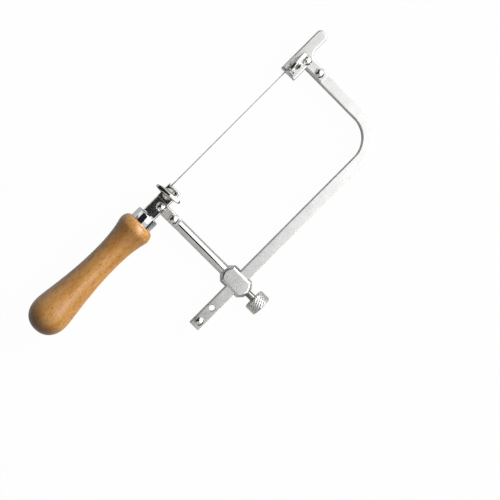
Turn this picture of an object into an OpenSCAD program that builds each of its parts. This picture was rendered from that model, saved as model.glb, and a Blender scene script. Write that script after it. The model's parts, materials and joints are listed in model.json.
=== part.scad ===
// Adjustable fret saw with a wooden handle, lying on its side.
// The blade runs along X, from the handle to the nose, and its teeth face +Y.
// The spine of the frame lies on the -Y side. Z = 0 is the bench under the handle.

/* [Handle] */
// Length of the wooden grip, from the butt to the ferrule
grip_len = 101.4; // [85:0.2:130]
// Largest diameter, near the butt
bulb_d = 27.8; // [24:0.2:36]
// Distance of the largest diameter from the butt
bulb_at = 15.8; // [10:0.2:22]
// Diameter of the waist
waist_d = 18.8; // [15:0.2:22]
// Distance of the waist from the butt
waist_at = 68; // [50:0.5:78]
// Diameter of the swell behind the ferrule
flare_d = 25; // [20:0.2:30]
// Distance of the swell from the ferrule
flare_at = 6; // [4:0.2:10]

/* [Ferrule] */
// Outer diameter
ferrule_d = 16.8; // [13:0.2:19]
// Length along the handle
ferrule_len = 7.6; // [5:0.2:14]
// Thickness of its tube and of its front wall
ferrule_wall = 0.8; // [0.5:0.1:1.5]
// Chamfer round its front edge
ferrule_chamfer = 0.6; // [0.2:0.1:1.2]

/* [Tang plate] */
// Thickness of the plate and of its tang
tang_t = 4.5; // [3.5:0.1:6]
// Width of the tang where it enters the ferrule
tang_w = 5; // [4:0.1:7]
// Width of the tang at its tip
tang_tip_w = 3; // [2:0.1:4]
// Length of the tang inside the handle
tang_len = 58; // [35:1:75]
// Length of the clamp plate in front of the ferrule
tang_plate_len = 25.8; // [22:0.2:32]
// Width of the clamp plate, centred on the handle's axis
tang_plate_w = 10.4; // [9.6:0.2:14]
// Distance of the lower arm's axis from the ferrule
arm_at = 10; // [8:0.2:12]
// Reach of each plate's leg, from the handle's axis towards the spine
leg_reach = 18.8; // [17:0.2:26]

/* [Lower arm] */
// Diameter of the rod
rod_d = 7.8; // [6.5:0.1:9]
// Depth of the flat milled on the rod for the plate's leg
rod_seat = 0.9; // [0.5:0.1:1.5]
// Diameter of the spigot that goes into the slider
spigot_d = 5.8; // [4:0.1:6.4]
// Length of the spigot
spigot_len = 7; // [4:0.2:8]

/* [Frame bar] */
// Width of the bar in the plane of the saw
bar_w = 8; // [5.5:0.1:9]
// Thickness of the bar across the plane of the saw
bar_t = 8; // [7:0.1:10]
// Radius of the bar's long edges
bar_edge = 0.7; // [0.3:0.1:1.2]
// Radius on the inside of the bend
bend_r = 18.5; // [10:0.5:30]
// Throat: distance from the blade's line to the spine
throat_depth = 74.5; // [60:0.5:110]
// Length of the tail behind the lower arm's axis
tail_len = 42.2; // [34:0.2:70]
// Distance of the stop rivet from the end of the tail
stop_at = 5.1; // [4.5:0.1:8]
// Distance of the hanging hole from the end of the tail
hole_at = 17.6; // [13:0.1:22]
// Diameter of the hanging hole
hole_d = 4.5; // [3:0.1:5]

/* [Nose plate] */
// Distance of the upper arm's axis from the plate's throat edge
nose_arm_at = 16; // [14:0.2:20]
// Length of the nose in front of the upper arm's axis
nose_len = 22.1; // [14:0.2:34]
// Distance of the outer edge from the handle's axis
nose_edge = 7; // [5.5:0.1:9]
// Height of the nose
nose_h = 8.2; // [6.5:0.1:9]
// Corner radius at the end of the nose
nose_corner = 3.2; // [1:0.1:3.2]
// Fillet between the nose and the leg
nose_fillet = 5; // [1:0.2:8]

/* [Rivets] */
// Diameter of the shank
rivet_d = 3.5; // [2.5:0.1:4]
// Diameter of the round head
rivet_head_d = 6.8; // [5:0.1:7]
// Height of the round head
rivet_head_h = 1.7; // [1:0.1:2.4]
// Distance of the first rivet from the handle's axis
rivet_first = 2; // [1.5:0.1:3]
// Distance between the two rivets of a plate
rivet_pitch = 12; // [9:0.1:13]

/* [Slider] */
// Diameter of the barrel
barrel_d = 15.4; // [14.4:0.1:20]
// Length of the barrel in front of the spine's axis
barrel_front = 12.4; // [11.4:0.1:18]
// Length of the barrel behind the spine's axis
barrel_back = 10.2; // [9:0.1:16]
// Length of the cone at each end
cone_len = 3.4; // [1:0.1:3.4]
// Wall left between the slot and each flat
flat_wall = 1; // [0.8:0.1:2]

/* [Lock screw] */
// Diameter of the stud
stud_d = 5; // [4:0.1:6]
// Bare stud between the slider and the knob
stud_gap = 5.5; // [2.5:0.1:9]
// Diameter of the knob over its knurl
knob_d = 15.6; // [12:0.1:17]
// Length of the knob
knob_len = 8.3; // [5:0.1:12]
// Chamfer at each end of the knob
knob_chamfer = 1.1; // [0.4:0.1:1.5]
// Depth of the knurl
knurl_depth = 0.45; // [0.2:0.05:0.7]
// Number of knurl points around the knob
knurl_count = 18; // [14:1:44]
// Rows of knurl points along the knob, counting the rows in between
knurl_rows = 10; // [4:2:14]
// Thickness of the brass pad
pad_t = 2; // [1.2:0.1:3]

/* [Blade] */
// Length of the blade
blade_len = 127; // [120:0.5:150]
// Length of blade that lies on the lower clamp plate
lower_grip = 12.1; // [9:0.05:14]
// Gap between the blade's upper end and the upper clamp screw
blade_stop = 0.22; // [0.1:0.01:2]
// Height of the blade from back to tooth tips
blade_h = 0.8; // [0.5:0.05:1]
// Thickness of the blade
blade_t = 0.38; // [0.2:0.02:0.5]
// Distance of the blade's line from the handle's axis
blade_at = 3.1; // [2.9:0.05:3.8]
// Distance from one tooth to the next
tooth_pitch = 0.75; // [0.6:0.05:1.5]
// Depth of the teeth
tooth_depth = 0.28; // [0.1:0.02:0.4]
// Plain length without teeth between each clamp plate and the first tooth
tooth_margin = 3; // [1:0.5:10]

/* [Clamps] */
// Length of each jaw along the blade
jaw_len = 10.6; // [10:0.1:11]
// Width of each jaw
jaw_w = 9.2; // [8.6:0.1:9.4]
// Thickness of each jaw
jaw_t = 2; // [1.5:0.1:3]
// Chamfer along the top edges of each jaw
jaw_chamfer = 0.2; // [0.1:0.1:0.8]
// Width of the heel that rests on the plate
heel_w = 1.6; // [0.8:0.1:2]
// Distance of each jaw from the throat edge of its plate
jaw_inset = 1.4; // [0.6:0.1:1.8]
// Distance of the lower screw from the handle's axis, beside the blade
lower_screw_at = 0.5; // [0:0.05:0.6]
// Distance of the upper screw from the handle's axis, past the blade's end
upper_screw_at = 1.8; // [0.5:0.05:2.2]
// Distance of the lower screw from the throat edge
lower_screw_inset = 6.1; // [5.6:0.1:7.4]
// Distance of the upper screw from the throat edge
upper_screw_inset = 8.5; // [7.6:0.1:9]
// Diameter of the clamp screws
screw_d = 4; // [3:0.1:4.2]
// Length of screw below the wing hub
screw_len = 7.4; // [7:0.1:9]
// Diameter of the guide pins
pin_d = 1.6; // [1.2:0.1:2]
// Distance of the guide pins from the throat edge
pin_inset = 2.9; // [2.6:0.1:3.2]
// Distance of the guide pins from the clamp screws, across the blade
pin_at = 3.1; // [2.8:0.1:3.3]

/* [Wing screws] */
// Span over both wings
wing_span = 20; // [16:0.2:24]
// Height from the hub's foot to the top of the crown
wing_h = 10.5; // [9.5:0.1:12]
// Thickness of the wings at their tips and along the crown
wing_t = 2.4; // [2:0.1:3]
// Thickness of the wings at the hub
wing_root = 5; // [4.4:0.1:6]
// Radius of the crown that joins the wings
crown_r = 20; // [16:0.5:24]
// Radius of each wing's round ear
ear_r = 3.6; // [3:0.1:3.8]
// Diameter of the hub
hub_d = 8.2; // [6.8:0.1:8.4]
// Height of the hub's straight rim
hub_rim = 1.2; // [0.8:0.1:2]
// Diameter of the hub's cone at its top, inside the wings
hub_top_d = 3.8; // [3:0.1:3.8]
// Height of the hub
hub_h = 3.2; // [2.6:0.1:3.6]
// Height of the wings' lower edge at the hub
wing_foot = 1.1; // [0.6:0.1:2]
// Angle of the lower wings from the blade's line
lower_wing_angle = 96.4; // [0:0.2:180]
// Angle of the upper wings from the blade's line
upper_wing_angle = 0; // [0:0.2:180]

/* [Fits] */
// Gap left all round the bar in the slider's slot
slide_fit = 0.1; // [0.05:0.01:0.2]
// Radial gap of turning screws in their holes
screw_fit = 0.08; // [0.03:0.01:0.1]
// Gap at pieces that are pressed or riveted together
seat_fit = 0.04; // [0.02:0.01:0.1]

/* [Hidden] */
$fn = 96;
// How far tools reach past the faces they cut
past = 1;
// How far the ears reach past the span, where the plan view trims them round
wing_trim = 0.35;
// How far the ears stand proud of the crown
ear_rise = 0.12;
// Width of the wings beside their round tips, as a share of the tips
wing_neck = 0.85;

// Stations along X, from the ferrule's front face
butt_x = -ferrule_len - grip_len;
lower_edge_x = tang_plate_len;
upper_grip = upper_screw_inset - screw_d / 2 - screw_fit - blade_stop;
blade_gap = blade_len - lower_grip - upper_grip;
upper_edge_x = lower_edge_x + blade_gap;
nose_arm_x = upper_edge_x + nose_arm_at;
nose_tip_x = nose_arm_x + nose_len;
tail_x = arm_at - tail_len;
stop_x = tail_x + stop_at;
hole_x = tail_x + hole_at;
lower_screw_x = lower_edge_x - lower_screw_inset;
upper_screw_x = upper_edge_x + upper_screw_inset;
lower_pin_x = lower_edge_x - pin_inset;
upper_pin_x = upper_edge_x + pin_inset;
lower_pin_y = lower_screw_at - pin_at;
upper_pin_y = upper_screw_at - pin_at;

// Stations along Y, from the handle's axis
spine_y = blade_at - throat_depth - bar_w / 2;
barrel_front_y = spine_y + barrel_front;
barrel_back_y = spine_y - barrel_back;
knob_y = barrel_back_y - stud_gap;
knob_end_y = knob_y - knob_len;
bar_edge_y = spine_y - bar_w / 2;
pad_y = bar_edge_y - pad_t;
rivet_ys = [-rivet_first, -rivet_first - rivet_pitch];
// Where the rod and the bar end, under the plates
arm_top_y = rivet_head_d / 2 - rivet_first + 1;

// Heights above the bench
axis_z = bulb_d / 2;
plate_low_z = axis_z - tang_t / 2;
plate_top_z = axis_z + tang_t / 2;
frame_z = plate_low_z + rod_seat - rod_d / 2;
bar_top_z = frame_z + bar_t / 2;
nose_t = plate_top_z - bar_top_z;
jaw_low_z = plate_top_z + blade_t;
jaw_top_z = jaw_low_z + jaw_t;

// The origin is on the bench, under the middle of the saw
middle_x = (butt_x + nose_tip_x) / 2;
middle_y = (bulb_d / 2 + knob_end_y) / 2;
module placed() { translate([-middle_x, -middle_y, 0]) children(); }

// Points of a cubic curve from a to d that leaves along b and arrives along c
curve_steps = 14;
function curve_point(a, b, c, d, t) =
    a * pow(1 - t, 3) + 3 * b * t * pow(1 - t, 2) + 3 * c * pow(t, 2) * (1 - t) + d * pow(t, 3);
function curve(a, b, c, d) =
    [for (i = [1:curve_steps]) curve_point(a, b, c, d, i / curve_steps)];

// Grip profile as radius and distance from the butt
bulb_fullness = 2.25;
bulb_ease = 0.12;
waist_ease = 0.5;
waist_front_ease = 0.7;
flare_ease = 0.11;
flare_pos = grip_len - flare_at;
shoulder_r = ferrule_d / 2 - ferrule_wall / 4;
butt_points = [for (i = [0:curve_steps])
    let (turn = 90 * i / curve_steps)
    [bulb_d / 2 * pow(sin(turn), 2 / bulb_fullness),
     bulb_at * (1 - pow(cos(turn), 2 / bulb_fullness))]];
waist_points = curve(
    [bulb_d / 2, bulb_at],
    [bulb_d / 2, bulb_at + bulb_ease * (waist_at - bulb_at)],
    [waist_d / 2, waist_at - waist_ease * (waist_at - bulb_at)],
    [waist_d / 2, waist_at]);
flare_points = curve(
    [waist_d / 2, waist_at],
    [waist_d / 2, waist_at + waist_front_ease * (flare_pos - waist_at)],
    [flare_d / 2, flare_pos - flare_ease * (flare_pos - waist_at)],
    [flare_d / 2, flare_pos]);
shoulder_points = [for (i = [1:curve_steps])
    let (turn = 90 * i / curve_steps)
    [shoulder_r + (flare_d / 2 - shoulder_r) * cos(turn), flare_pos + flare_at * sin(turn)]];
spigot_r = ferrule_d / 2 - ferrule_wall - seat_fit;
nose_points = [[spigot_r, grip_len], [spigot_r, grip_len + ferrule_len - ferrule_wall - seat_fit],
    [0, grip_len + ferrule_len - ferrule_wall - seat_fit]];
grip_points = concat(butt_points, waist_points, flare_points, shoulder_points, nose_points);

// Turns a profile drawn as radius and length into a solid along X
module turned_x(start) {
    translate([start, 0, axis_z])
        rotate([0, 90, 0])
            rotate_extrude()
                children();
}

// Outline of the tapered tang, grown by a gap on each side
module tang_outline(gap) {
    polygon([[past, tang_w / 2 + gap], [-tang_len - gap, tang_tip_w / 2 + gap],
        [-tang_len - gap, -tang_tip_w / 2 - gap], [past, -tang_w / 2 - gap]]);
}

module tang_hole() {
    translate([0, 0, plate_low_z - seat_fit])
        linear_extrude(tang_t + 2 * seat_fit)
            tang_outline(seat_fit);
}

module handle() {
    color("peru")
        difference() {
            turned_x(butt_x) polygon(grip_points);
            tang_hole();
        }
}

module ferrule() {
    r = ferrule_d / 2;
    color("gainsboro")
        difference() {
            turned_x(-ferrule_len)
                polygon([[r - ferrule_wall, 0], [r, 0], [r, ferrule_len - ferrule_chamfer],
                    [r - ferrule_chamfer, ferrule_len], [0, ferrule_len],
                    [0, ferrule_len - ferrule_wall], [r - ferrule_wall, ferrule_len - ferrule_wall]]);
            tang_hole();
        }
}

// Upright hole through everything at x, y
module drill(x, y, d) {
    translate([x, y, -past])
        cylinder(h = plate_top_z + 2 * past, d = d);
}

module rivet_holes(x) {
    for (y = rivet_ys)
        drill(x, y, rivet_d + 2 * seat_fit);
}

module tang_plate() {
    color("silver")
        difference() {
            translate([0, 0, plate_low_z])
                linear_extrude(tang_t) {
                    translate([0, -tang_plate_w / 2])
                        square([tang_plate_len, tang_plate_w]);
                    translate([arm_at - rod_d / 2, -leg_reach])
                        square([rod_d, leg_reach]);
                    tang_outline(0);
                }
            rivet_holes(arm_at);
            drill(lower_screw_x, lower_screw_at, screw_d + 2 * screw_fit);
            drill(lower_pin_x, lower_pin_y, pin_d + 2 * seat_fit);
        }
}

// Round bar along Y, from its far end at y towards +Y
module bar_y(y, len, d) {
    translate([arm_at, y, frame_z])
        rotate([-90, 0, 0])
            cylinder(h = len, d = d);
}

module lower_arm() {
    color("silver")
        difference() {
            union() {
                bar_y(barrel_front_y, arm_top_y - barrel_front_y, rod_d);
                bar_y(barrel_front_y - spigot_len, spigot_len + past, spigot_d);
            }
            translate([arm_at - rod_d, -leg_reach - seat_fit, plate_low_z])
                cube([2 * rod_d, leg_reach + seat_fit + arm_top_y + past, rod_d]);
            rivet_holes(arm_at);
        }
}

module slider_block() {
    r = barrel_d / 2;
    end_r = r - cone_len;
    len = barrel_front + barrel_back;
    flat_z = bar_t / 2 + slide_fit + flat_wall;
    color("gainsboro")
        difference() {
            translate([arm_at, barrel_back_y, frame_z])
                rotate([-90, 0, 0])
                    rotate_extrude()
                        polygon([[0, 0], [end_r, 0], [r, cone_len],
                            [r, len - cone_len], [end_r, len], [0, len]]);
            for (side = [-1, 1])
                translate([arm_at - r - past, barrel_back_y - past, frame_z + side * (flat_z + r) - r])
                    cube([2 * (r + past), len + 2 * past, 2 * r]);
            translate([arm_at - r - past, bar_edge_y - slide_fit, frame_z - bar_t / 2 - slide_fit])
                cube([2 * (r + past), bar_w + 2 * slide_fit, bar_t + 2 * slide_fit]);
            bar_y(barrel_back_y - past, bar_edge_y - barrel_back_y + past, stud_d + 2 * screw_fit);
            bar_y(barrel_front_y - spigot_len - seat_fit, spigot_len + seat_fit + past,
                spigot_d + 2 * seat_fit);
        }
}

// Round head on the plane z, with a shank that reaches down by len
module rivet(x, y, z, len) {
    a = rivet_head_d / 2;
    ball_r = (a * a + rivet_head_h * rivet_head_h) / (2 * rivet_head_h);
    translate([x, y, z]) {
        rotate_extrude()
            intersection() {
                translate([0, rivet_head_h - ball_r])
                    circle(ball_r);
                square([a, rivet_head_h]);
            }
        translate([0, 0, -len])
            cylinder(h = len + rivet_head_h / 2, d = rivet_d);
    }
}

// Rivets through the rod are dressed flush with its round underside
module tang_rivet(y) {
    color("whitesmoke")
        intersection() {
            rivet(arm_at, y, plate_top_z, plate_top_z);
            union() {
                bar_y(barrel_front_y, arm_top_y - barrel_front_y, rod_d);
                translate([arm_at - rivet_head_d, y - rivet_head_d, frame_z])
                    cube([2 * rivet_head_d, 2 * rivet_head_d, plate_top_z]);
            }
        }
}

module nose_rivet(y) {
    color("whitesmoke")
        rivet(nose_arm_x, y, plate_top_z, nose_t + bar_t);
}

module stop_rivet() {
    color("whitesmoke")
        rivet(stop_x, spine_y, bar_top_z, bar_t);
}

// Section of the bar, with its long edges rounded
module bar_section() {
    square([bar_w - 2 * bar_edge, bar_t], center = true);
    square([bar_w, bar_t - 2 * bar_edge], center = true);
    for (x = [-1, 1])
        for (y = [-1, 1])
            translate([x * (bar_w / 2 - bar_edge), y * (bar_t / 2 - bar_edge)])
                circle(bar_edge);
}

// The bar: tail and spine, a quarter bend, and the upper arm
module bar_sweep() {
    mid_r = bend_r + bar_w / 2;
    bend_x = nose_arm_x - mid_r;
    bend_y = spine_y + mid_r;
    translate([tail_x, spine_y, frame_z])
        rotate([90, 0, 90])
            linear_extrude(bend_x - tail_x)
                bar_section();
    translate([bend_x, bend_y, frame_z])
        rotate([0, 0, -90])
            rotate_extrude(angle = 90)
                translate([mid_r, 0])
                    bar_section();
    translate([nose_arm_x, arm_top_y, frame_z])
        rotate([90, 0, 0])
            linear_extrude(arm_top_y - bend_y)
                bar_section();
}

module frame_bar() {
    color("lightgray")
        difference() {
            bar_sweep();
            rivet_holes(nose_arm_x);
            drill(stop_x, spine_y, rivet_d + 2 * seat_fit);
            drill(hole_x, spine_y, hole_d);
        }
}

// The nose plate's outline: clamp, leg, and the nose with its rounded end and fillet
module nose_outline() {
    leg_right = nose_arm_x + bar_w / 2;
    nose_low = nose_edge - nose_h;
    translate([upper_edge_x, -tang_plate_w / 2])
        square([leg_right - upper_edge_x, tang_plate_w / 2 + nose_edge]);
    translate([nose_arm_x - bar_w / 2, -leg_reach])
        square([bar_w, leg_reach]);
    translate([leg_right, nose_low])
        square([nose_tip_x - nose_corner - leg_right, nose_h]);
    translate([leg_right, nose_low + nose_corner])
        square([nose_tip_x - leg_right, nose_h - 2 * nose_corner]);
    for (y = [nose_low + nose_corner, nose_edge - nose_corner])
        translate([nose_tip_x - nose_corner, y])
            circle(nose_corner);
    translate([leg_right, nose_low - nose_fillet])
        difference() {
            square(nose_fillet);
            translate([nose_fillet, 0])
                circle(nose_fillet);
        }
}

module nose_plate() {
    color("lightgray")
        difference() {
            translate([0, 0, bar_top_z])
                linear_extrude(nose_t)
                    nose_outline();
            rivet_holes(nose_arm_x);
            drill(upper_screw_x, upper_screw_at, screw_d + 2 * screw_fit);
            drill(upper_pin_x, upper_pin_y, pin_d + 2 * seat_fit);
        }
}

module guide_pin(x, y, low_z) {
    color("gray")
        translate([x, y, low_z])
            cylinder(h = jaw_top_z - jaw_t / 4 - low_z, d = pin_d);
}

// One clamp jaw, from low_x along X: chamfered top edges, and a heel as thick as the blade
module jaw(low_x, screw_x, screw_y, pin_x) {
    low_y = screw_y - jaw_w / 2;
    c = jaw_chamfer;
    top = jaw_top_z;
    color("silver")
        difference() {
            intersection() {
                translate([low_x, low_y + jaw_w, 0])
                    rotate([90, 0, 0])
                        linear_extrude(jaw_w)
                            polygon([[0, plate_top_z], [jaw_len, plate_top_z], [jaw_len, top - c],
                                [jaw_len - c, top], [c, top], [0, top - c]]);
                translate([low_x, low_y, 0])
                    rotate([90, 0, 90])
                        linear_extrude(jaw_len)
                            polygon([[0, plate_top_z], [heel_w, plate_top_z], [heel_w, jaw_low_z],
                                [jaw_w, jaw_low_z], [jaw_w, top - c], [jaw_w - c, top],
                                [c, top], [0, top - c]]);
            }
            translate([screw_x, screw_y, plate_low_z])
                cylinder(h = top, d = screw_d + 2 * screw_fit);
            translate([pin_x, screw_y - pin_at, plate_low_z])
                cylinder(h = top, d = pin_d + 2 * screw_fit);
        }
}

module lower_jaw() {
    jaw(lower_edge_x - jaw_inset - jaw_len, lower_screw_x, lower_screw_at, lower_pin_x);
}

module upper_jaw() {
    jaw(upper_edge_x + jaw_inset, upper_screw_x, upper_screw_at, upper_pin_x);
}

// Side view of both wings, above the hub's foot: a low crown between two round ears
module wing_outline() {
    crown_y = wing_h - crown_r;
    ear_x = wing_span / 2 + wing_trim - ear_r;
    reach = crown_r - ear_r + ear_rise;
    ear_up = sqrt(reach * reach - ear_x * ear_x);
    slant = ear_x / ear_up;
    low_x = slant * (wing_foot - crown_y);
    high_x = slant * (crown_r + past);
    intersection() {
        translate([0, crown_y])
            circle(crown_r);
        polygon([[-low_x, wing_foot], [low_x, wing_foot],
            [high_x, wing_h + past], [-high_x, wing_h + past]]);
    }
    for (x = [-ear_x, ear_x])
        translate([x, crown_y + ear_up])
            circle(ear_r);
}

// End view of the wings: thick at the hub, drawn in to the crown
module wing_taper() {
    polygon([[-wing_root / 2, 0], [wing_root / 2, 0], [wing_t / 2, wing_h], [wing_t / 2, wing_h + past],
        [-wing_t / 2, wing_h + past], [-wing_t / 2, wing_h]]);
}

// Plan view of both wings: two arcs that swell from the round tips to the hub
module wing_plan() {
    arm = wing_span / 2 - wing_t / 2;
    swell = wing_root / 2 - wing_neck * wing_t / 2;
    arc_r = (arm * arm + swell * swell) / (2 * swell);
    intersection() {
        translate([0, arc_r - wing_root / 2])
            circle(arc_r);
        translate([0, wing_root / 2 - arc_r])
            circle(arc_r);
        square([2 * arm, wing_root], center = true);
    }
    for (end = [-arm, arm])
        translate([end, 0])
            circle(d = wing_t);
}

// Cast wing screw that stands on the jaw: screw, coned hub and crowned wings
module wing_screw(x, y, turn) {
    color("silver")
        translate([x, y, jaw_top_z])
            rotate([0, 0, turn]) {
                translate([0, 0, -screw_len])
                    cylinder(h = screw_len + hub_rim, d = screw_d);
                rotate_extrude()
                    polygon([[0, 0], [hub_d / 2, 0], [hub_d / 2, hub_rim],
                        [hub_top_d / 2, hub_h], [0, hub_h]]);
                intersection() {
                    rotate([90, 0, 0])
                        translate([0, 0, -wing_root])
                            linear_extrude(2 * wing_root)
                                wing_outline();
                    linear_extrude(wing_h + past)
                        wing_plan();
                    rotate([90, 0, 90])
                        translate([0, 0, -wing_span])
                            linear_extrude(2 * wing_span)
                                wing_taper();
                }
            }
}

module pressure_pad() {
    color("goldenrod")
        bar_y(pad_y, pad_t, stud_d - 4 * screw_fit);
}

module lock_stud() {
    color("gray")
        bar_y(knob_end_y, pad_y - knob_end_y, stud_d);
}

// Knurled knob: rings of points round its axis, joined in a closed loop through the bore
module lock_knob() {
    sides = 2 * knurl_count;
    r = knob_d / 2;
    low_r = r - knurl_depth;
    face_r = r - knob_chamfer;
    knurl_len = knob_len - 2 * knob_chamfer;
    bore_r = (stud_d / 2 + seat_fit) / cos(180 / sides);
    last = knurl_rows;
    rings = concat(
        [for (j = [0:last]) [knob_chamfer + knurl_len * j / last, j == 0 || j == last ? low_r : r]],
        [[knob_len, face_r], [knob_len, bore_r], [0, bore_r], [0, face_r]]);
    count = len(rings);
    points = [for (j = [0:count - 1]) for (i = [0:sides - 1])
        let (pit = j > 0 && j < last && (i + j) % 2 == 1)
        let (ring_r = pit ? low_r : rings[j][1])
        [ring_r * cos(360 * i / sides), ring_r * sin(360 * i / sides), rings[j][0]]];
    faces = [for (j = [0:count - 1]) for (i = [0:sides - 1])
        let (a = j * sides + i)
        let (b = j * sides + (i + 1) % sides)
        let (c = (j + 1) % count * sides + (i + 1) % sides)
        let (d = (j + 1) % count * sides + i)
        each (i + j) % 2 == 0 ? [[a, d, b], [b, d, c]] : [[a, c, b], [a, d, c]]];
    color("gainsboro")
        translate([arm_at, knob_y, frame_z])
            rotate([90, 0, 0])
                polyhedron(points, faces);
}

// Toothed blade: each tooth's steep face looks at the handle, so the saw cuts on the pull
module blade() {
    low_x = lower_edge_x - lower_grip;
    back_y = blade_at - blade_h / 2;
    tip_y = blade_at + blade_h / 2;
    first_x = lower_edge_x + tooth_margin;
    teeth = floor((blade_gap - 2 * tooth_margin) / tooth_pitch);
    color("dimgray")
        translate([0, 0, plate_top_z])
            linear_extrude(blade_t)
                polygon(concat(
                    [[low_x + blade_len, back_y], [low_x, back_y], [low_x, tip_y], [first_x, tip_y]],
                    [for (i = [1:teeth]) for (y = [tip_y - tooth_depth, tip_y])
                        [first_x + i * tooth_pitch, y]],
                    [[low_x + blade_len, tip_y]]));
}

placed() handle();
placed() ferrule();
placed() tang_plate();
placed() lower_arm();
placed() slider_block();
placed() tang_rivet(rivet_ys[0]);  // tang_rivet_upper
placed() tang_rivet(rivet_ys[1]);  // tang_rivet_lower
placed() guide_pin(lower_pin_x, lower_pin_y, plate_low_z);  // lower_guide_pin
placed() frame_bar();
placed() nose_plate();
placed() nose_rivet(rivet_ys[0]);  // nose_rivet_upper
placed() nose_rivet(rivet_ys[1]);  // nose_rivet_lower
placed() stop_rivet();
placed() guide_pin(upper_pin_x, upper_pin_y, bar_top_z);  // upper_guide_pin
placed() blade();
placed() lower_jaw();
placed() wing_screw(lower_screw_x, lower_screw_at, lower_wing_angle);  // lower_wing_screw
placed() upper_jaw();
placed() wing_screw(upper_screw_x, upper_screw_at, upper_wing_angle);  // upper_wing_screw
placed() pressure_pad();
placed() lock_stud();
placed() lock_knob();
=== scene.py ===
import json
import math
import bmesh
import bpy
from mathutils import Euler, Matrix, Vector

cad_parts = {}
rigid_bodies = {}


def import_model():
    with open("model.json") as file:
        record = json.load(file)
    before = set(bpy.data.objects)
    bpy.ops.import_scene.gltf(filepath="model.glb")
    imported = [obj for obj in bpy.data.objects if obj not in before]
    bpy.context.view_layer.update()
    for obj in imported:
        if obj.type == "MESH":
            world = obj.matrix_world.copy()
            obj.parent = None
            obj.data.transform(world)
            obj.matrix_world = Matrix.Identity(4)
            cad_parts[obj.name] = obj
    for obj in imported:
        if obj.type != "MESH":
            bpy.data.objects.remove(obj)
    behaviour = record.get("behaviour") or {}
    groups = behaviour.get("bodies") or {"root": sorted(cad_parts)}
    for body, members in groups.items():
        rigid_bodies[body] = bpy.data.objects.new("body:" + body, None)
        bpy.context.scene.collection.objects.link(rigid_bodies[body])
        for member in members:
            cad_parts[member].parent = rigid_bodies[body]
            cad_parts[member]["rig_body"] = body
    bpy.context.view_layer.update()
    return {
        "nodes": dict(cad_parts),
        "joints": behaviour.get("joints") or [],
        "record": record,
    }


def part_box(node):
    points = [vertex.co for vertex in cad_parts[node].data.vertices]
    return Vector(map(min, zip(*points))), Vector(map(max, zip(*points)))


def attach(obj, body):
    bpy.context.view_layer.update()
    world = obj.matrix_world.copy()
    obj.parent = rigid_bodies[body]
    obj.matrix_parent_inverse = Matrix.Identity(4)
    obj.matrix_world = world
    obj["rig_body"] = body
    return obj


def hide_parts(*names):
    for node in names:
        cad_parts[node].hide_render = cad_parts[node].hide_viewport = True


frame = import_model()
nodes = frame["nodes"]
jointPlace = {joint["name"]: Vector(joint["pos_m"]) for joint in frame["joints"] if "pos_m" in joint}
mountPlace = {mount["name"]: Vector(mount["pos_m"]) for mount in frame["record"]["mounts"]}
mm = 0.001
alongX, alongY, alongZ = Vector((1, 0, 0)), Vector((0, 1, 0)), Vector((0, 0, 1))
print("frame:", len(nodes), "CAD nodes")


# middle of a CAD node's box
def middleOf(node):
    low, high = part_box(node)
    return (low + high) / 2


# sRGB hex to the linear colour that Blender's sockets take
def linear(hexColour):
    parts = [int(hexColour[i:i + 2], 16) / 255 for i in (1, 3, 5)]
    return [p / 12.92 if p <= 0.04045 else ((p + 0.055) / 1.055) ** 2.4 for p in parts] + [1]


# adds one node: settings are its properties, values its sockets, links what feeds them, stops a ramp
def addNode(tree, kind, values=None, links=None, stops=None, **settings):
    made = tree.nodes.new("ShaderNode" + kind)
    for name, value in settings.items():
        setattr(made, name, value)
    for socket, value in (values or {}).items():
        made.inputs[socket].default_value = value
    for socket, source in (links or {}).items():
        tree.links.new(source, made.inputs[socket])
    if stops:
        elements = made.color_ramp.elements
        while len(elements) < len(stops):
            elements.new(1)
        for element, (place, colour) in zip(elements, stops):
            element.position = place
            element.color = colour
    return made


# an empty material, ready for nodes
def emptyMaterial(name):
    material = bpy.data.materials.new(name)
    material.use_nodes = True
    material.node_tree.nodes.clear()
    return material, material.node_tree


# a material with one Principled shader on its output, set to the given sockets
def startMaterial(name, sockets):
    material, tree = emptyMaterial(name)
    shader = addNode(tree, "BsdfPrincipled", sockets)
    addNode(tree, "OutputMaterial", links={"Surface": shader.outputs["BSDF"]})
    return material, tree, shader


# texture scale that repeats about once in this many millimetres
def perMm(size):
    return 1 / (size * mm)


# a grey for a colour socket
def grey(level):
    return (level, level, level, 1)


def addObject(name, data):
    made = bpy.data.objects.new(name, data)
    bpy.context.scene.collection.objects.link(made)
    return made


# places of the Mix node's colour sockets, and of its number sockets
mixA, mixB, mixResult = 6, 7, 2
numberA, numberB = 2, 3

photoCamera = {
    "place": (-9.33, 27.86, 864.0),   # mm, above the blade's lower end
    "turn": (-0.0342, -0.0501, -0.7857),
    "focalPixels": 1247.0,
    "imagePixels": 500,
    "sensor": 36.0,
    "nearest": 0.01,   # m, where the view begins
}


def makeCamera():
    data = bpy.data.cameras.new("photoCamera")
    data.sensor_width = photoCamera["sensor"]
    data.lens = photoCamera["focalPixels"] / photoCamera["imagePixels"] * photoCamera["sensor"]
    data.clip_start = photoCamera["nearest"]
    camera = addObject("photoCamera", data)
    camera.location = Vector(photoCamera["place"]) * mm
    camera.rotation_euler = Euler(photoCamera["turn"], "XYZ")
    bpy.context.scene.camera = camera


makeCamera()
print("camera set")

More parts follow.
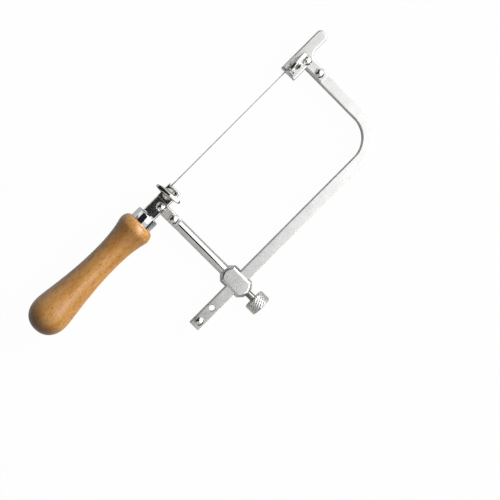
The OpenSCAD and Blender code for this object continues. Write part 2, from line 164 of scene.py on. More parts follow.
# studio: a long softbox on the spine's side, a key lamp past the nose, a dark ceiling on the blade's side
studio = {
    # towards is in degrees from straight up, to the nose and to the spine; reach and size are in m
    "lamps": {
        "softbox": {"towards": (38, 28), "reach": 1.15, "size": (1.85, 1.4), "glow": 0.8},
        "softboxCore": {"towards": (32, 32), "reach": 1.14, "size": (1.1, 0.55), "glow": 3.0},
        "keyLamp": {"towards": (52, 30), "reach": 1.4, "size": (0.8, 0.8), "glow": 5.5},
    },
    "ceilingHeight": 0.89,        # m, just above the camera
    "ceilingEdges": [(-0.30, 0.13), (-0.04, 0.13), (0.0, 0.09), (0.17, 0.07), (0.18, -0.10), (0.26, -0.28),
                     (2.5, -1.0), (-2.5, -1.0), (-0.33, -0.22)],   # m towards the nose and the spine
    "ceilingGlow": 0.02,
    "farEdges": [(2.5, -1.0), (2.5, -4.5), (-2.5, -4.5), (-2.5, -1.0)],   # further off it is only dim
    "farGlow": 0.25,
    "gapEdges": [(-0.14, -1.05), (0.14, -1.05), (0.14, -4.5), (-0.14, -4.5)],   # a pale strip in it
    "gapGlow": 1.0,
    "gapDrop": 0.01,              # m below the ceiling
    "lowBand": (64, 91),          # degrees from straight up, the dark gap between softbox and floor
    "lowBandTurn": (-75, 60),     # degrees round from the spine's side
    "lowBandReach": 1.6,
    "lowBandSteps": 24,
    "lowBandGlow": 0.06,
    "fillGlow": (0.0, 0.26),      # world light on dull surfaces, from the butt's side and the nose's side
    "roomGlow": (0.58, 1.0),      # what polished metal sees of the room, likewise
    "glowEnds": (0.15, 0.85),     # where the two sides of the room begin and end, from the butt to the nose
    "floorSize": 9.0,
    "floorPaper": "#C6C6C6",
    "floorShade": 0.02,           # share of true shading that the camera sees on the white floor
    "floorInMetal": 0.85,         # share of true shading that polished metal sees
}


# direction from angles in degrees towards the nose and towards the spine
def skyward(noseAngle, spineAngle):
    towards = Vector((math.tan(math.radians(noseAngle)), -math.tan(math.radians(spineAngle)), 1))
    return towards.normalized()


# rectangular lamp that faces the bench, with its long side along the saw
def addLamp(name, lampSize):
    data = bpy.data.lights.new(name, "AREA")
    data.shape = "RECTANGLE"
    data.size, data.size_y = lampSize["size"]
    data.energy = lampSize["glow"] * math.pi * data.size * data.size_y
    facing = skyward(*lampSize["towards"])
    across = (alongX - facing * alongX.dot(facing)).normalized()
    lamp = addObject(name, data)
    lamp.location = facing * lampSize["reach"]
    lamp.rotation_euler = Matrix((across, facing.cross(across), facing)).transposed().to_euler()


# card seen only in polished metal
def addCard(name, points, faces, glow):
    mesh = bpy.data.meshes.new(name)
    mesh.from_pydata(points, [], faces)
    card = addObject(name, mesh)
    material, tree = emptyMaterial(name)
    light = addNode(tree, "Emission", {"Color": grey(glow), "Strength": 1})
    addNode(tree, "OutputMaterial", links={"Surface": light.outputs["Emission"]})
    mesh.materials.append(material)
    for ray in ("camera", "diffuse", "transmission", "volume_scatter", "shadow"):
        setattr(card, "visible_" + ray, False)


def makeCards():
    stand = Vector(photoCamera["place"]) * mm
    cards = {"darkCeiling": ("ceiling", 0), "dimCeiling": ("far", 0),
             "paleStrip": ("gap", studio["gapDrop"])}
    for name, (part, drop) in cards.items():
        height = studio["ceilingHeight"] - drop
        edges = [(stand.x + nose, stand.y - spine, height) for nose, spine in studio[part + "Edges"]]
        addCard(name, edges, [range(len(edges))], studio[part + "Glow"])
    first, last = studio["lowBandTurn"]
    steps = studio["lowBandSteps"]
    band = []
    for i in range(steps + 1):
        turn = math.radians(first + (last - first) * i / steps)
        for tilt in studio["lowBand"]:
            out = math.sin(math.radians(tilt)) * studio["lowBandReach"]
            up = math.cos(math.radians(tilt)) * studio["lowBandReach"]
            band.append((math.sin(-turn) * out, -math.cos(turn) * out, up))
    quads = [(2 * i, 2 * i + 1, 2 * i + 3, 2 * i + 2) for i in range(steps)]
    addCard("darkGap", band, quads, studio["lowBandGlow"])


# white floor: it shows as white, and keeps a share of the object's shadow
def makeFloor():
    half = studio["floorSize"] / 2
    mesh = bpy.data.meshes.new("floor")
    corners = [(-half, -half, 0), (half, -half, 0), (half, half, 0), (-half, half, 0)]
    mesh.from_pydata(corners, [], [range(4)])
    floor = addObject("floor", mesh)
    paper, tree = emptyMaterial("whitePaper")
    rays = addNode(tree, "LightPath").outputs
    straight = addNode(tree, "Math", links={0: rays["Is Camera Ray"], 1: rays["Is Transmission Ray"]},
                       operation="MAXIMUM")
    inMetal = addNode(tree, "Math", {1: 1 - studio["floorInMetal"]}, {0: rays["Is Glossy Ray"]},
                      operation="MULTIPLY")
    share = addNode(tree, "Math", {1: 1 - studio["floorShade"]},
                    {0: straight.outputs[0], 2: inMetal.outputs[0]}, operation="MULTIPLY_ADD")
    matt = addNode(tree, "BsdfDiffuse", {"Color": linear(studio["floorPaper"])})
    white = addNode(tree, "Emission", {"Color": grey(1), "Strength": 1})
    both = addNode(tree, "MixShader", links={0: share.outputs[0], 1: matt.outputs[0], 2: white.outputs[0]})
    addNode(tree, "OutputMaterial", links={"Surface": both.outputs[0]})
    mesh.materials.append(paper)


# world: white to the camera, a pale room to metal, plain fill to the rest
def makeWorld():
    world = bpy.data.worlds.new("studioWorld")
    bpy.context.scene.world = world
    world.use_nodes = True
    tree = world.node_tree
    tree.nodes.clear()
    rays = addNode(tree, "LightPath").outputs
    place = addNode(tree, "TexCoord")
    axes = addNode(tree, "SeparateXYZ", links={0: place.outputs["Generated"]})
    sides = addNode(tree, "MapRange", {"From Min": -1, "From Max": 1}, {"Value": axes.outputs["X"]})
    first, last = studio["glowEnds"]
    dull, shiny = [addNode(tree, "ValToRGB", links={0: sides.outputs[0]},
                           stops=[(first, grey(studio[glow][0])), (last, grey(studio[glow][1]))])
                   for glow in ("fillGlow", "roomGlow")]
    toMetal = addNode(tree, "Mix", links={0: rays["Is Glossy Ray"], mixA: dull.outputs["Color"],
                                          mixB: shiny.outputs["Color"]}, data_type="RGBA")
    shown = addNode(tree, "Mix", {mixB: grey(1)},
                    {0: rays["Is Camera Ray"], mixA: toMetal.outputs[mixResult]}, data_type="RGBA")
    light = addNode(tree, "Background", {"Strength": 1}, {"Color": shown.outputs[mixResult]})
    addNode(tree, "OutputWorld", links={"Surface": light.outputs[0]})


for name, lampSize in studio["lamps"].items():
    addLamp(name, lampSize)
makeCards()
makeFloor()
makeWorld()
bpy.context.scene.view_settings.view_transform = "Standard"
print("studio set")

# beech, turned and varnished: amber brown, short wavy flecks along the grain, a soft shine
beech = {
    # the darkest tone below is the end grain's, and also painted shade where the surface faces the butt,
    # away from the lamps
    "pale": "#D79F5C", "body": "#D0964F", "deep": "#C78C45", "fleck": "#925B20", "endGrainAndShadeTone": "#6E4318",
    "cloudMm": (16, 4.5), "fleckMm": (4.0, 0.8), "waveMm": 7.0, "fibreMm": (14, 0.4), "poreMm": (1.6, 0.35),
    "bendMm": 1.6, "reliefMm": 0.03,   # how far the waves bend the grain, and how deep it is felt
    "fibreShare": 0.6, "toneStops": {"pale": 0.62, "body": 0.80, "deep": 0.98},
    "fleckStops": [(0.52, 0), (0.68, 0.58)], "poreStops": [(0.68, 0), (0.78, 0.4)],   # level, and how dark
    # painted shade as well as end grain: the tone darkens wherever the surface faces the butt, away from the
    # lamps
    "shadeFacingButtFrom": (-0.04, -0.6), "shadeFacingButtShare": 0.85,   # by how far the surface faces the butt
    "roughness": 0.5, "underShine": 0.25, "ior": 1.5, "coatRoughness": 0.24,
}


def makeBeech():
    material, tree, shader = startMaterial("varnishedBeech", {
        "Roughness": beech["roughness"], "IOR": beech["ior"], "Specular IOR Level": beech["underShine"],
        "Coat Weight": 1.0, "Coat Roughness": beech["coatRoughness"], "Coat IOR": beech["ior"]})
    place = addNode(tree, "TexCoord")

    # the grain runs along the handle, and slow waves bend it
    waves = addNode(tree, "TexNoise", {"Scale": perMm(beech["waveMm"]), "Detail": 1},
                    {"Vector": place.outputs["Object"]})
    bend = addNode(tree, "VectorMath", {1: (0.5, 0.5, 0.5)}, {0: waves.outputs["Color"]},
                   operation="SUBTRACT")
    bend = addNode(tree, "VectorMath", {"Scale": beech["bendMm"] * mm}, {0: bend.outputs[0]},
                   operation="SCALE")
    bent = addNode(tree, "VectorMath", links={0: place.outputs["Object"], 1: bend.outputs[0]},
                   operation="ADD")
    grain = {}
    for name, detail in (("cloudMm", 2), ("fleckMm", 1.5), ("fibreMm", 3), ("poreMm", 0)):
        length, width = beech[name]
        drawn = addNode(tree, "Mapping", {"Scale": (width / length, 1, 1)}, {"Vector": bent.outputs[0]})
        grain[name] = addNode(tree, "TexNoise", {"Scale": perMm(width), "Detail": detail, "Roughness": 0.55},
                              {"Vector": drawn.outputs[0]}).outputs["Fac"]

    tone = addNode(tree, "Math", {1: beech["fibreShare"]}, {0: grain["fibreMm"], 2: grain["cloudMm"]},
                   operation="MULTIPLY_ADD")
    ground = addNode(tree, "ValToRGB", links={0: tone.outputs[0]},
                     stops=[(level, linear(beech[name])) for name, level in beech["toneStops"].items()])
    marks, pores = [addNode(tree, "ValToRGB", links={0: grain[name + "Mm"]},
                            stops=[(level, grey(share)) for level, share in beech[name + "Stops"]])
                    for name in ("fleck", "pore")]
    dark = addNode(tree, "Math", links={0: marks.outputs["Color"], 1: pores.outputs["Color"]},
                   operation="MAXIMUM")
    colour = addNode(tree, "Mix", {mixB: linear(beech["fleck"])},
                     {0: dark.outputs[0], mixA: ground.outputs["Color"]}, data_type="RGBA")

    # the butt shows end grain, which drinks more varnish and darkens; the same dark tone is also painted
    # shade on every surface that faces the butt, away from the lamps, the flare's back slope as well
    facing = addNode(tree, "SeparateXYZ", links={0: place.outputs["Normal"]})
    start, full = beech["shadeFacingButtFrom"]
    shadeFacingButt = addNode(tree, "MapRange",
                    {"From Min": start, "From Max": full, "To Max": beech["shadeFacingButtShare"]},
                    {"Value": facing.outputs["X"]})
    colour = addNode(tree, "Mix", {mixB: linear(beech["endGrainAndShadeTone"])},
                     {0: shadeFacingButt.outputs[0], mixA: colour.outputs[mixResult]}, data_type="RGBA")
    tree.links.new(colour.outputs[mixResult], shader.inputs["Base Color"])
    relief = addNode(tree, "Bump", {"Strength": 0.5, "Distance": beech["reliefMm"] * mm},
                     {"Height": grain["fibreMm"]})
    tree.links.new(relief.outputs[0], shader.inputs["Normal"])
    return material


# what all the metals share: clouds in the tone and the roughness, and hairlines drawn out along an axis
metalGrain = {"cloudMm": 7, "toneLevels": (0.3, 0.62), "wander": 0.15, "wanderLevels": (0.3, 0.7),
              "hairMm": 0.35, "hairStretch": 0.02}


# plated or turned metal: a clean tone, roughness that wanders a little, hairlines and a fine skin
# dull gives another roughness below a place in mm along Y
def makeMetal(name, tone, darker, roughness, skinMm, skinDepth, hairlines=0.0, hairAxis=0, dull=None):
    material, tree, shader = startMaterial(name, {"Metallic": 1.0})
    place = addNode(tree, "TexCoord")
    clouds = addNode(tree, "TexNoise",
                     {"Scale": perMm(metalGrain["cloudMm"]), "Detail": 4, "Roughness": 0.6},
                     {"Vector": place.outputs["Object"]})
    skin = addNode(tree, "TexNoise", {"Scale": perMm(skinMm), "Detail": 3, "Roughness": 0.55},
                   {"Vector": place.outputs["Object"]})
    stretch = [1.0, 1.0, 1.0]
    stretch[hairAxis] = metalGrain["hairStretch"]
    drawn = addNode(tree, "Mapping", {"Scale": stretch}, {"Vector": place.outputs["Object"]})
    hairs = addNode(tree, "TexNoise", {"Scale": perMm(metalGrain["hairMm"]), "Detail": 2},
                    {"Vector": drawn.outputs[0]})
    colour = addNode(tree, "ValToRGB", links={0: clouds.outputs["Fac"]},
                     stops=list(zip(metalGrain["toneLevels"], (linear(darker), linear(tone)))))
    tree.links.new(colour.outputs["Color"], shader.inputs["Base Color"])
    least, most = [roughness * (1 + change) for change in (-metalGrain["wander"], metalGrain["wander"])]
    low, high = metalGrain["wanderLevels"]
    wander = addNode(tree, "MapRange", {"From Min": low, "From Max": high, "To Min": least, "To Max": most},
                     {"Value": clouds.outputs["Fac"]})
    rough = wander.outputs[0]
    if dull:
        axes = addNode(tree, "SeparateXYZ", links={0: place.outputs["Object"]})
        start, full = [(dull["belowY"] + step) * mm for step in (dull["blend"], -dull["blend"])]
        below = addNode(tree, "MapRange", {"From Min": start, "From Max": full},
                        {"Value": axes.outputs["Y"]})
        rough = addNode(tree, "Mix", {numberB: dull["roughness"]},
                        {0: below.outputs[0], numberA: rough}).outputs[0]
    tree.links.new(rough, shader.inputs["Roughness"])
    fine = addNode(tree, "Bump", {"Strength": 1, "Distance": skinDepth * mm},
                   {"Height": skin.outputs["Fac"]})
    lines = addNode(tree, "Bump", {"Strength": 1, "Distance": hairlines * mm},
                    {"Height": hairs.outputs["Fac"], "Normal": fine.outputs[0]})
    tree.links.new(lines.outputs[0], shader.inputs["Normal"])
    return material


# the lower plate's leg was left satin
dullLeg = {"belowY": 37.6, "blend": 0.4, "roughness": 0.36}
# skinMm is how wide the grain of the skin is, skinDepth and hairlines are depths, all in mm
metals = {
    # spun cup under bright chrome: a clear mirror, neutral and cool
    "chrome": {"name": "chromePlate", "tone": "#E9EAEC", "darker": "#DADCDE", "roughness": 0.05,
               "skinMm": 1.6, "skinDepth": 0.0006},
    # flat plates, buffed and nickel plated: near mirror with faint buffing lines
    "polished": {"name": "buffedNickel", "tone": "#DEDCD8", "darker": "#CBC9C5", "roughness": 0.14,
                 "skinMm": 0.9, "skinDepth": 0.0005, "hairlines": 0.0004, "hairAxis": 0, "dull": dullLeg},
    # drawn rod, polished: lines run along its length
    "rod": {"name": "polishedRod", "tone": "#DEDEDC", "darker": "#D2D2D0", "roughness": 0.06,
            "skinMm": 1.2, "skinDepth": 0.0004, "hairlines": 0.0004, "hairAxis": 1},
    # cold-headed rivets, tumbled bright
    "rivet": {"name": "brightRivet", "tone": "#E3E1DD", "darker": "#D2D0CC", "roughness": 0.09,
              "skinMm": 0.8, "skinDepth": 0.0010},
    # rolled bar under satin nickel: soft grey sheen, no sharp reflection
    "satin": {"name": "satinNickel", "tone": "#D5D5D4", "darker": "#CCCCCB", "roughness": 0.28,
              "skinMm": 0.5, "skinDepth": 0.0003, "hairlines": 0.0004, "hairAxis": 0},
    # zinc casting, tumbled and nickel plated: bright with a slightly uneven skin
    "cast": {"name": "castNickel", "tone": "#DAD8D4", "darker": "#C9C7C3", "roughness": 0.13,
             "skinMm": 1.4, "skinDepth": 0.0030},
    # knurled, then plated: bright crests, duller in the grooves
    "knurl": {"name": "knurledNickel", "tone": "#DEDCD8", "darker": "#C8C6C2", "roughness": 0.34,
              "skinMm": 0.5, "skinDepth": 0.0012},
    # turned and threaded steel, bare, a little brown with oil
    "screw": {"name": "turnedSteel", "tone": "#86847F", "darker": "#75736E", "roughness": 0.16,
              "skinMm": 0.4, "skinDepth": 0.0006},
    # turned brass pad
    "brass": {"name": "turnedBrass", "tone": "#D3AE62", "darker": "#B58F49", "roughness": 0.28,
              "skinMm": 0.4, "skinDepth": 0.0015},
    # hardened spring steel strip: grey, dull from the temper
    "spring": {"name": "springSteel", "tone": "#BCBCBD", "darker": "#A9AAAB", "roughness": 0.32,
               "skinMm": 0.3, "skinDepth": 0.0006, "hairlines": 0.0006, "hairAxis": 0},
}
finish = {"beech": makeBeech()}
for skin, metal in metals.items():
    finish[skin] = makeMetal(**metal)
print("finishes:", len(finish))


# meshes

# smooth faces with creases where two faces meet at more than this angle
def smoothMesh(mesh, crease=32):
    if "custom_normal" in mesh.attributes:
        mesh.attributes.remove(mesh.attributes["custom_normal"])
    mesh.shade_smooth()
    mesh.set_sharp_from_angle(angle=math.radians(crease))
    return mesh


# even normals on the large flat faces beside narrow rounded edges
def evenNormals(piece):
    weighted = piece.modifiers.new("evenNormals", "WEIGHTED_NORMAL")
    weighted.keep_sharp = True
    weighted.weight = 80   # large faces lead
    return piece


# turns a bmesh into a new smooth object
def fromBmesh(name, bm, crease=32):
    mesh = bpy.data.meshes.new(name)
    bm.to_mesh(mesh)
    bm.free()
    return addObject(name, smoothMesh(mesh, crease))


# takes a piece's modifiers into its mesh
def applyModifiers(piece, crease=32):
    bpy.context.view_layer.update()
    made = bpy.data.meshes.new_from_object(piece.evaluated_get(bpy.context.evaluated_depsgraph_get()))
    made.name = piece.name
    piece.modifiers.clear()
    piece.data = smoothMesh(made, crease)
    return piece


# puts a finished piece on its body, in place of its CAD node
def dress(piece, node, skin):
    piece.data.materials.clear()
    piece.data.materials.append(finish[skin])
    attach(piece, nodes[node]["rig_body"])
    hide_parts(node)
    return piece


# points of an arc in a profile, as (radius, distance) pairs
def arcPoints(centre, size, start, end, steps):
    turns = [math.radians(start + (end - start) * i / steps) for i in range(steps + 1)]
    return [(centre[0] + size * math.cos(t), centre[1] + size * math.sin(t)) for t in turns]


# turns a profile of (radius, distance) pairs in mm about an axis; a ripple changes the radius on the way
def turnProfile(name, profile, origin, along, steps=96, closed=False, ripple=None):
    bm = bmesh.new()
    side = along.orthogonal().normalized()
    other = along.cross(side)
    turns = [math.tau * i / steps for i in range(steps)]
    rings = []
    for radius, distance in profile:
        centre = origin + along * distance * mm
        if radius < 1e-6:   # a point on the axis
            rings.append([bm.verts.new(centre)])
            continue
        sizes = [radius + (ripple(turn, distance) if ripple else 0) for turn in turns]
        rings.append([bm.verts.new(centre + (side * math.cos(turn) + other * math.sin(turn)) * size * mm)
                      for turn, size in zip(turns, sizes)])
    for first, second in list(zip(rings, rings[1:])) + ([(rings[-1], rings[0])] if closed else []):
        for i in range(steps):
            j = (i + 1) % steps
            corners = [first[i % len(first)], first[j % len(first)],
                       second[j % len(second)], second[i % len(second)]]
            distinct = list(dict.fromkeys(corners))
            if len(distinct) > 2:
                bm.faces.new(distinct)
    bmesh.ops.recalc_face_normals(bm, faces=bm.faces)
    return fromBmesh(name, bm)


# wave that rises from 0 to 1 and falls back over each whole number
def zigzag(t):
    return 2 * abs(t - math.floor(t + 0.5))


threadCut = {"rowsPerPitch": 10, "steps": 64, "flank": 1.3, "crest": 0.15}


# screw thread from the origin along an axis, with chamfered ends
def makeThread(name, size, origin, along, length):
    step = size["pitch"] / threadCut["rowsPerPitch"]
    count = round(length / step)
    outer, depth = size["threadD"] / 2, size["threadDepth"]
    profile = [(0, 0), (outer - depth, 0)]
    for i in range(1, count):
        distance = length * i / count
        profile.append((min(outer, outer - depth + min(distance, length - distance)), distance))
    profile += [(outer - depth, length), (0, length)]

    def groove(turn, distance):
        wave = zigzag(distance / size["pitch"] - turn / math.tau)
        depthHere = depth * min(1, max(0, threadCut["flank"] * wave - threadCut["crest"]))
        room = min(1, distance / depth, (length - distance) / depth)
        return -depthHere * max(0, room)

    return turnProfile(name, profile, origin, along, steps=threadCut["steps"], ripple=groove)


# one piece out of two that overlap
def joinPieces(name, pieces):
    bm = bmesh.new()
    for piece in pieces:
        bm.from_mesh(piece.data)
        bpy.data.objects.remove(piece)
    return fromBmesh(name, bm)


# lengths in mm and angles in degrees for the filed pieces
filing = {"weld": 0.0005, "flatWithin": 0.6, "sharpFrom": 28, "level": 0.01, "drillReach": 2.3, "steps": 4,
          "fold": 0.005}


# a copy of a CAD node's mesh with whole flat faces, ready to work on
def wholeFaces(node):
    bm = bmesh.new()
    bm.from_mesh(nodes[node].data)
    bmesh.ops.remove_doubles(bm, verts=bm.verts, dist=filing["weld"] * mm)
    flat = math.radians(filing["flatWithin"])
    bmesh.ops.dissolve_limit(bm, angle_limit=flat, verts=bm.verts, edges=bm.edges)
    return bm


# welds the small folds that a wide rounding leaves at tight corners
def weldFolds(piece, fold):
    bm = bmesh.new()
    bm.from_mesh(piece.data)
    bmesh.ops.remove_doubles(bm, verts=bm.verts, dist=fold * mm)
    bm.to_mesh(piece.data)
    bm.free()
    return piece


# a CAD node's shape with its edges rounded, the outline of its top by its own size; holes stay as drilled
def softenEdges(name, node, size):
    bm = wholeFaces(node)
    low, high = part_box(node)
    drilled = [middleOf(other) for other in size.get("drilledFor", [])]
    weight = bm.edges.layers.float.new("bevel_weight_edge")
    widest = max(size["edge"], size["top"])
    for edge in bm.edges:
        if len(edge.link_faces) != 2 or edge.calc_face_angle() < math.radians(filing["sharpFrom"]):
            continue
        middle = (edge.verts[0].co + edge.verts[1].co) / 2
        if any((middle - hole).xy.length < filing["drillReach"] * mm for hole in drilled):
            continue
        rounding = size["edge"]
        if all(v.co.y < low.y + filing["level"] * mm for v in edge.verts):
            rounding = size.get("end", size["edge"])
        elif all(v.co.z > high.z - filing["level"] * mm for v in edge.verts):
            rounding = size["top"]
        edge[weight] = rounding / widest
    piece = fromBmesh(name, bm)
    bevel = piece.modifiers.new("softEdges", "BEVEL")
    bevel.limit_method = "WEIGHT"
    bevel.width = widest * mm
    bevel.segments = size.get("steps", filing["steps"])
    bevel.use_clamp_overlap = False
    bevel.loop_slide = False
    return evenNormals(weldFolds(applyModifiers(piece), size.get("fold", filing["fold"])))


# handle: turned grip with a full butt, a waist and a swell at the ferrule
grip = {
    "length": 101.4, "bulbD": 27.8, "bulbAt": 15.8, "waistD": 18.8, "waistAt": 68.0,
    "flareD": 25.0, "flareAt": 6.0, "shoulderD": 16.4, "noseD": 15.12,
    "buttFullness": 2.25, "bulbEase": 0.12, "waistEase": 0.5, "waistFrontEase": 0.7, "flareEase": 0.11,
    "steps": 26, "turnSteps": 128,
}


def bezier(a, b, c, d, steps):
    made = []
    for i in range(1, steps + 1):
        t = i / steps
        weights = ((1 - t) ** 3, 3 * t * (1 - t) ** 2, 3 * t * t * (1 - t), t ** 3)
        made.append(tuple(sum(w * p[k] for w, p in zip(weights, (a, b, c, d))) for k in (0, 1)))
    return made


def makeHandle():
    low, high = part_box("handle")
    axis = middleOf("handle")
    bulbR, waistR, flareR, shoulderR = [grip[k] / 2 for k in ("bulbD", "waistD", "flareD", "shoulderD")]
    steps, power = grip["steps"], 2 / grip["buttFullness"]
    bulbAt, waistAt, flareAt = grip["bulbAt"], grip["waistAt"], grip["length"] - grip["flareAt"]
    toWaist, toFlare = waistAt - bulbAt, flareAt - waistAt
    quarter = [math.pi / 2 * i / steps for i in range(steps + 1)]
    profile = [(bulbR * math.sin(t) ** power, bulbAt * (1 - max(0, math.cos(t)) ** power)) for t in quarter]
    profile += bezier((bulbR, bulbAt), (bulbR, bulbAt + grip["bulbEase"] * toWaist),
                      (waistR, waistAt - grip["waistEase"] * toWaist), (waistR, waistAt), steps)
    profile += bezier((waistR, waistAt), (waistR, waistAt + grip["waistFrontEase"] * toFlare),
                      (flareR, flareAt - grip["flareEase"] * toFlare), (flareR, flareAt), steps)
    profile += [(shoulderR + (flareR - shoulderR) * math.cos(t), flareAt + grip["flareAt"] * math.sin(t))
                for t in quarter[1:]]
    noseEnd = (high.x - low.x) / mm
    profile += [(grip["noseD"] / 2, grip["length"]), (grip["noseD"] / 2, noseEnd), (0, noseEnd)]
    start = Vector((low.x, axis.y, axis.z))
    dress(turnProfile("handleGrip", profile, start, alongX, steps=grip["turnSteps"]), "handle", "beech")


# ferrule: spun cup with a rolled front edge
cup = {"wall": 0.8, "frontRound": 1.0, "backRound": 0.25, "mouthFlare": 0.1, "steps": 8, "turnSteps": 128}


def makeFerrule():
    low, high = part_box("ferrule")
    radius, length = (high.z - low.z) / 2 / mm, (high.x - low.x) / mm
    wall, front, back = cup["wall"], cup["frontRound"], cup["backRound"]
    profile = [(radius - wall, back), (radius - wall + cup["mouthFlare"], 0)]
    profile += arcPoints((radius - back, back), back, -90, 0, cup["steps"])
    profile += arcPoints((radius - front, length - front), front, 0, 90, cup["steps"])
    profile += [(0, length), (0, length - wall), (radius - wall, length - wall)]
    start = Vector((low.x, middleOf("ferrule").y, middleOf("ferrule").z))
    piece = turnProfile("ferruleCup", profile, start, alongX, steps=cup["turnSteps"], closed=True)
    dress(piece, "ferrule", "chrome")


makeHandle()
makeFerrule()
print("handle and ferrule done")

# flat and filed pieces keep the CAD shape, with rounded edges, in mm
filedPieces = {
    "tang_plate": {"name": "tangPlate", "skin": "polished", "edge": 0.4, "top": 1.0, "end": 0.15,
                   "drilledFor": ["tang_rivet_upper", "tang_rivet_lower",
                                  "lower_wing_screw", "lower_guide_pin"]},
    "nose_plate": {"name": "nosePlate", "skin": "satin", "edge": 0.3, "top": 1.0, "end": 0.15,
                   "drilledFor": ["nose_rivet_upper", "nose_rivet_lower",
                                  "upper_wing_screw", "upper_guide_pin"]},
    "lower_arm": {"name": "lowerArmRod", "skin": "rod", "edge": 0.15, "top": 0.15},
    "slider_block": {"name": "sliderBlock", "skin": "satin", "edge": 0.3, "top": 1.0, "fold": 0.1},
    "lower_jaw": {"name": "lowerJaw", "skin": "polished", "edge": 0.04, "top": 0.04, "steps": 2},
    "upper_jaw": {"name": "upperJaw", "skin": "satin", "edge": 0.04, "top": 0.04, "steps": 2},
}
for node, size in filedPieces.items():
    dress(softenEdges(size["name"], node, size), node, size["skin"])
print("plates done")

# frame bar: one rounded bar from the tail, round the bend, to the nose plate
bar = {
    "width": 8.0, "edge": 0.7, "outerEdge": 0.25, "leastEdge": 0.05, "bendInside": 18.5, "endRound": 0.4,
    "cornerSteps": 6, "bendSteps": 48, "endSteps": 4,
    "holeD": 4.5, "holeRim": 0.25, "rivetHoleD": 3.58, "drillPast": 1, "holeSteps": 64,
}


# rounded rectangle, drawn in by inset on each side
def barSection(halfWide, halfThick, inset):
    points = []
    for quarter, (wide, thick) in enumerate(((1, 1), (-1, 1), (-1, -1), (1, -1))):
        corner = max(bar["edge" if wide > 0 else "outerEdge"] - inset, bar["leastEdge"])
        centre = (wide * (halfWide - inset - corner), thick * (halfThick - inset - corner))
        points += arcPoints(centre, corner, 90 * quarter, 90 * quarter + 90, bar["cornerSteps"])
    return points


def makeFrameBar():
    low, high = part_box("frame_bar")
    half, halfThick = bar["width"] / 2, (high.z - low.z) / 2 / mm
    middleR = (bar["bendInside"] + half) * mm
    spineY, armX = low.y + half * mm, high.x - half * mm
    bendX, bendY = armX - middleR, spineY + middleR
    height = (low.z + high.z) / 2
    insets = [math.pi / 2 * i / bar["endSteps"] for i in range(bar["endSteps"] + 1)]
    ends = [(bar["endRound"] * (1 - math.cos(t)) * mm, bar["endRound"] * (1 - math.sin(t))) for t in insets]
    stations = [(Vector((low.x + far, spineY, height)), alongY, inset) for far, inset in ends]
    for i in range(bar["bendSteps"] + 1):
        turn = math.pi / 2 * i / bar["bendSteps"]
        inward = Vector((-math.sin(turn), math.cos(turn), 0))
        stations.append((Vector((bendX, bendY, height)) - inward * middleR, inward, 0))
    stations += [(Vector((armX, high.y - far, height)), -alongX, inset) for far, inset in reversed(ends)]
    bm = bmesh.new()
    rings = []
    for place, inward, inset in stations:
        rings.append([bm.verts.new(place + inward * wide * mm + alongZ * thick * mm)
                      for wide, thick in barSection(half, halfThick, inset)])
    for first, second in zip(rings, rings[1:]):
        for i in range(len(first)):
            j = (i + 1) % len(first)
            bm.faces.new((first[i], first[j], second[j], second[i]))
    bm.faces.new(rings[0])
    bm.faces.new(rings[-1])
    bmesh.ops.recalc_face_normals(bm, faces=bm.faces)
    piece = fromBmesh("frameBar", bm)

    # rivet holes straight through, and the hanging hole with its edges broken
    thick, rim, past = 2 * halfThick, bar["holeRim"], bar["drillPast"]
    hole, shank = bar["holeD"] / 2, bar["rivetHoleD"] / 2
    straight = [(0, -past), (shank, -past), (shank, thick + past), (0, thick + past)]
    broken = [(0, -past), (hole + rim + past, -past), (hole, rim), (hole, thick - rim),
              (hole + rim + past, thick + past), (0, thick + past)]
    riveted = ("stop_rivet", "nose_rivet_upper", "nose_rivet_lower")
    holes = [(middleOf(node), straight) for node in riveted]
    cutters = []
    for place, profile in holes + [(mountPlace["hang_hole"], broken)]:
        foot = Vector((place.x, place.y, low.z))
        cutter = turnProfile("drill", profile, foot, alongZ, steps=bar["holeSteps"])
        drill = piece.modifiers.new("drill", "BOOLEAN")
        drill.operation, drill.solver, drill.object = "DIFFERENCE", "EXACT", cutter
        cutters.append(cutter)
    applyModifiers(piece)
    for cutter in cutters:
        bpy.data.objects.remove(cutter)
    dress(evenNormals(piece), "frame_bar", "satin")


makeFrameBar()
print("bar done")

# round-head rivets; those through the rod end flush with its round underside
rivet = {"headD": 6.8, "headH": 1.7, "shankD": 3.5, "lip": 0.1, "rodD": 7.8,
         "tailEdge": 0.01, "tailDepth": 0.5, "steps": 14, "tailRings": 4, "turnSteps": 72}


def makeRivet(name, node, throughRod):
    low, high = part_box(node)
    middle = middleOf(node)
    headR, shankR, length = rivet["headD"] / 2, rivet["shankD"] / 2, (high.z - low.z) / mm
    ballR = (headR ** 2 + rivet["headH"] ** 2) / (2 * rivet["headH"])
    reach = math.asin(headR / ballR)
    turns = [reach * i / rivet["steps"] for i in range(rivet["steps"] + 1)]
    flatten = ballR * (1 - rivet["lip"] / rivet["headH"])
    profile = [(ballR * math.sin(t), flatten * (1 - math.cos(t))) for t in turns]
    profile += [(headR, rivet["headH"]), (shankR, rivet["headH"]), (shankR, length - rivet["tailEdge"])]
    rings = rivet["tailRings"]
    profile += [(shankR * k / rings, length) for k in range(rings, -1, -1)]
    crown = Vector((middle.x, middle.y, high.z))
    piece = turnProfile(name, profile, crown, -alongZ, steps=rivet["turnSteps"])
    if throughRod:
        rodR = rivet["rodD"] / 2 * mm
        for vert in piece.data.vertices:
            if vert.co.z < low.z + rivet["tailDepth"] * mm:
                vert.co.z = low.z + rodR - math.sqrt(rodR ** 2 - (vert.co.x - middle.x) ** 2)
    dress(piece, node, "rivet")


for name, node in {"tangRivetUpper": "tang_rivet_upper", "tangRivetLower": "tang_rivet_lower",
                   "noseRivetUpper": "nose_rivet_upper", "noseRivetLower": "nose_rivet_lower",
                   "stopRivet": "stop_rivet"}.items():
    makeRivet(name, node, node.startswith("tang"))
print("rivets done")

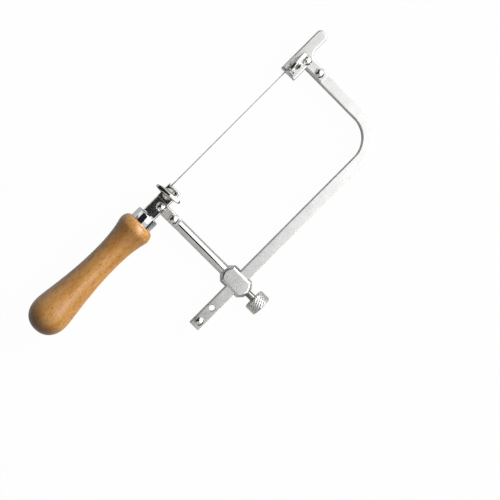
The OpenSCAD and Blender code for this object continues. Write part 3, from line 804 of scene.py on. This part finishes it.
# cast wing screws: the head's edges are rounded as cast and tumbled, the screw is cut with a real thread
wingScrew = {"threadD": 4.0, "pitch": 0.7, "threadDepth": 0.38, "stub": 0.3, "intoHead": 0.5, "voxel": 0.15,
             "tumbles": 50, "tumbleShare": 0.5, "crease": 80}


def makeWingScrew(name, node, joint):
    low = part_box(node)[0]
    foot = jointPlace[joint]
    bm = wholeFaces(node)
    cut = bmesh.ops.bisect_plane(bm, geom=bm.verts[:] + bm.edges[:] + bm.faces[:], clear_inner=True,
                                 plane_co=foot - alongZ * wingScrew["stub"] * mm, plane_no=alongZ)
    bmesh.ops.holes_fill(bm, edges=[e for e in cut["geom_cut"] if isinstance(e, bmesh.types.BMEdge)])
    head = fromBmesh(name + "Head", bm)
    cast = head.modifiers.new("castSkin", "REMESH")
    cast.mode, cast.voxel_size = "VOXEL", wingScrew["voxel"] * mm
    tumbled = head.modifiers.new("tumbled", "SMOOTH")
    tumbled.factor, tumbled.iterations = wingScrew["tumbleShare"], wingScrew["tumbles"]
    applyModifiers(head, wingScrew["crease"])
    start = Vector((foot.x, foot.y, foot.z + wingScrew["intoHead"] * mm))
    thread = makeThread(name + "Thread", wingScrew, start, -alongZ, (start.z - low.z) / mm)
    dress(joinPieces(name, [head, thread]), node, "cast")


makeWingScrew("lowerWingScrew", "lower_wing_screw", "lower_screw_turn")
makeWingScrew("upperWingScrew", "upper_wing_screw", "upper_screw_turn")
print("wing screws done")

# lock screw: threaded stud and a knob with a diamond knurl
lockStud = {"threadD": 5.0, "pitch": 0.8, "threadDepth": 0.45, "intoSlider": 0.6, "overlap": 0.3}
knob = {"chamfer": 1.1, "boreD": 5.08, "starts": 13, "lean": 65, "depth": 0.4, "counter": 0.3, "row": 0.08,
        "runOut": 0.4, "crest": 1.15, "edgeSteps": 6, "stepsPerStart": 16}


def makeLockScrew():
    low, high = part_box("lock_stud")
    axis = middleOf("lock_stud")
    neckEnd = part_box("slider_block")[0].y + lockStud["intoSlider"] * mm
    radius, neck = lockStud["threadD"] / 2, (neckEnd - low.y) / mm
    plain = turnProfile("lockNeck", [(0, 0), (radius, 0), (radius, neck), (0, neck)],
                        Vector((axis.x, low.y, axis.z)), alongY, steps=threadCut["steps"])
    start = Vector((axis.x, neckEnd - lockStud["overlap"] * mm, axis.z))
    thread = makeThread("lockThread", lockStud, start, alongY, (high.y - start.y) / mm)
    dress(joinPieces("lockStud", [plain, thread]), "lock_stud", "screw")

    low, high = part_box("lock_knob")
    radius, length = (high.z - low.z) / 2 / mm, (high.y - low.y) / mm
    chamfer, bore, depth = knob["chamfer"], knob["boreD"] / 2, knob["depth"]
    # mm along the knob for one pitch round it
    rise = math.tau * radius / knob["starts"] / math.tan(math.radians(knob["lean"]))
    runOut = chamfer * knob["runOut"]

    def diamonds(turn, distance):
        across, along = knob["starts"] * turn / math.tau, distance / rise
        ridge = min(zigzag(across - along), 1 - knob["counter"] * (1 - zigzag(across + along)))
        inside = min(1, max(0, (min(distance, length - distance) - chamfer + runOut) / runOut))
        return -depth * (1 - min(1, knob["crest"] * ridge)) * inside

    rows = round((length - 2 * chamfer) / knob["row"])
    edge = arcPoints((radius - chamfer, chamfer), chamfer, -90, 0, knob["edgeSteps"])
    profile = [(bore, 0)] + edge
    profile += [(radius, chamfer + (length - 2 * chamfer) * i / rows) for i in range(1, rows)]
    profile += [(r, length - d) for r, d in reversed(edge)] + [(bore, length)]
    piece = turnProfile("lockKnob", profile, Vector((axis.x, low.y, axis.z)), alongY,
                        steps=knob["stepsPerStart"] * knob["starts"], closed=True, ripple=diamonds)
    dress(piece, "lock_knob", "knurl")


makeLockScrew()
print("lock screw done")

# CAD nodes that stay as they are, with a finish
for node, skin in {"lower_guide_pin": "screw", "upper_guide_pin": "screw", "pressure_pad": "brass",
                   "blade": "spring"}.items():
    nodes[node].data.materials.clear()
    nodes[node].data.materials.append(finish[skin])
